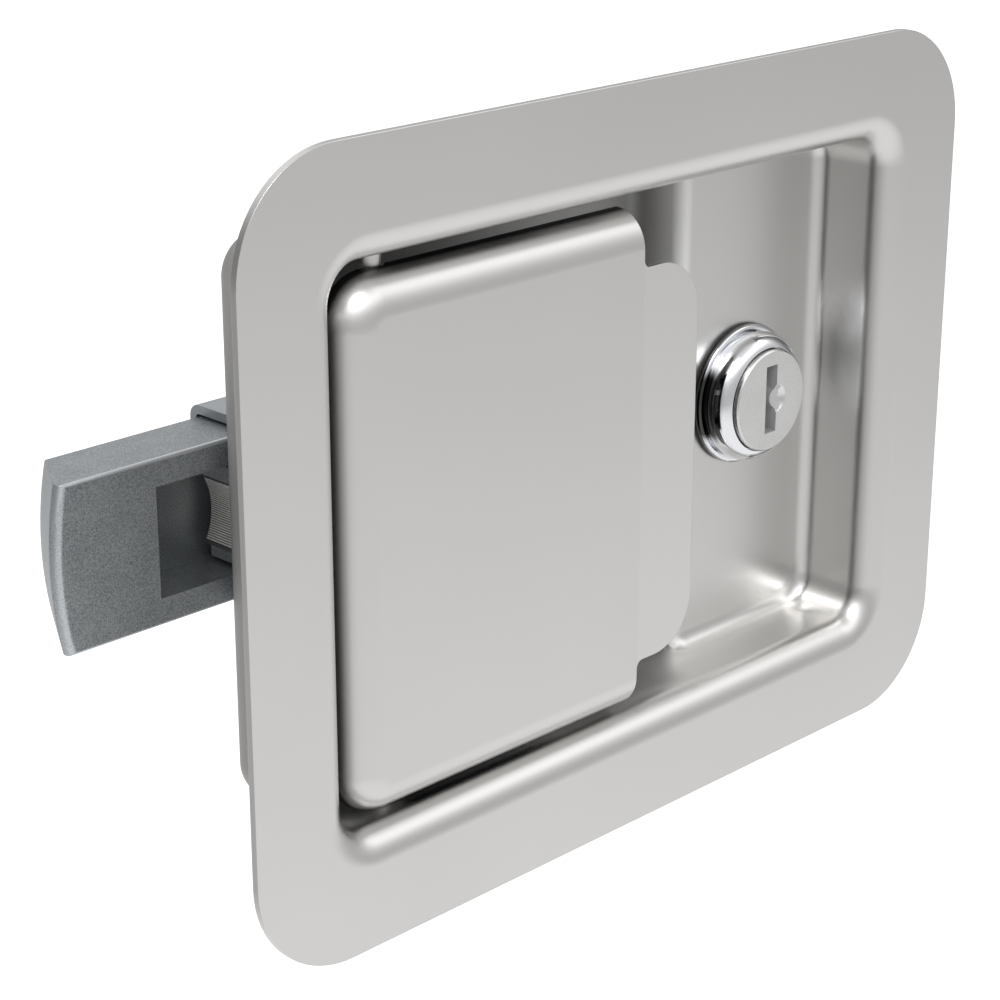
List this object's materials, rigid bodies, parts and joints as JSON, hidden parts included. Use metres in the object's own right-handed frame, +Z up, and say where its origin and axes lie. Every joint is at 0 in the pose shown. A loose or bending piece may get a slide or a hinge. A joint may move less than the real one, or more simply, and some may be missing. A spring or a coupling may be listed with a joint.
{
  "type": "flush paddle latch",
  "caption": "Flush paddle latch for a panel door: pressed dish with a pull paddle, spring bolt that snaps shut and a key lock.",
  "frame": {"origin": "centre of the flange's rear face, which lies on the door panel", "axes": "+X to the right seen from the front, away from the bolt; +Y into the door; +Z up"},
  "size_m": [0.1325, 0.0318, 0.0952],
  "materials": {
    "satin_steel": "satin stainless steel, pressed",
    "zinc_plate": "zinc-plated steel, satin",
    "cast_zinc": "die-cast zinc alloy, fine speckle",
    "lock_chrome": "polished chrome",
    "plug_face": "satin chrome",
    "wafer_brass": "plain brass",
    "spring_steel": "drawn spring wire"
  },
  "bodies": {
    "base": {"pan": "satin_steel", "panel_studs": "satin_steel", "pivot_pin": "satin_steel", "pin_clip": "spring_steel", "guide_plate": "zinc_plate", "bolt_housing": "zinc_plate", "housing_rivets": "zinc_plate", "spring_rod": "zinc_plate", "lock_body": "lock_chrome", "lock_washer": "zinc_plate", "lock_nut": "zinc_plate", "paddle_spring": "spring_steel", "bolt_spring": "spring_steel"},
    "paddle": {"paddle": "satin_steel", "drive_lever": "cast_zinc", "lever_studs": "satin_steel", "lever_nuts": "zinc_plate", "lock_hook": "zinc_plate"},
    "bolt": {"latch_bolt": "cast_zinc"},
    "plug": {"lock_plug": "plug_face", "lock_wafers": "wafer_brass", "lock_cam": "zinc_plate", "cam_washer": "zinc_plate", "cam_screw": "zinc_plate"}
  },
  "joints": [
    {"name": "paddle_hinge", "type": "hinge", "parent": "base", "child": "paddle", "pos_m": [-0.038, 0.00555, 0], "axis": [0, 0, -1], "range_deg": [0, 30], "stiffness_Nm_per_rad": 0.12, "springref_deg": -28.65, "deforming": ["paddle_spring"]},
    {"name": "bolt_slide", "type": "slide", "parent": "base", "child": "bolt", "axis": [1, 0, 0], "range_m": [0, 0.0095], "deforming": ["bolt_spring"]},
    {"name": "plug_turn", "type": "hinge", "parent": "base", "child": "plug", "pos_m": [0.0328, 0, 0], "axis": [0, 1, 0], "range_deg": [0, 90]}
  ],
  "couplings": [
    {"joint": "bolt_slide", "follows": "paddle_hinge", "m_per_rad": 0.018116}
  ]
}
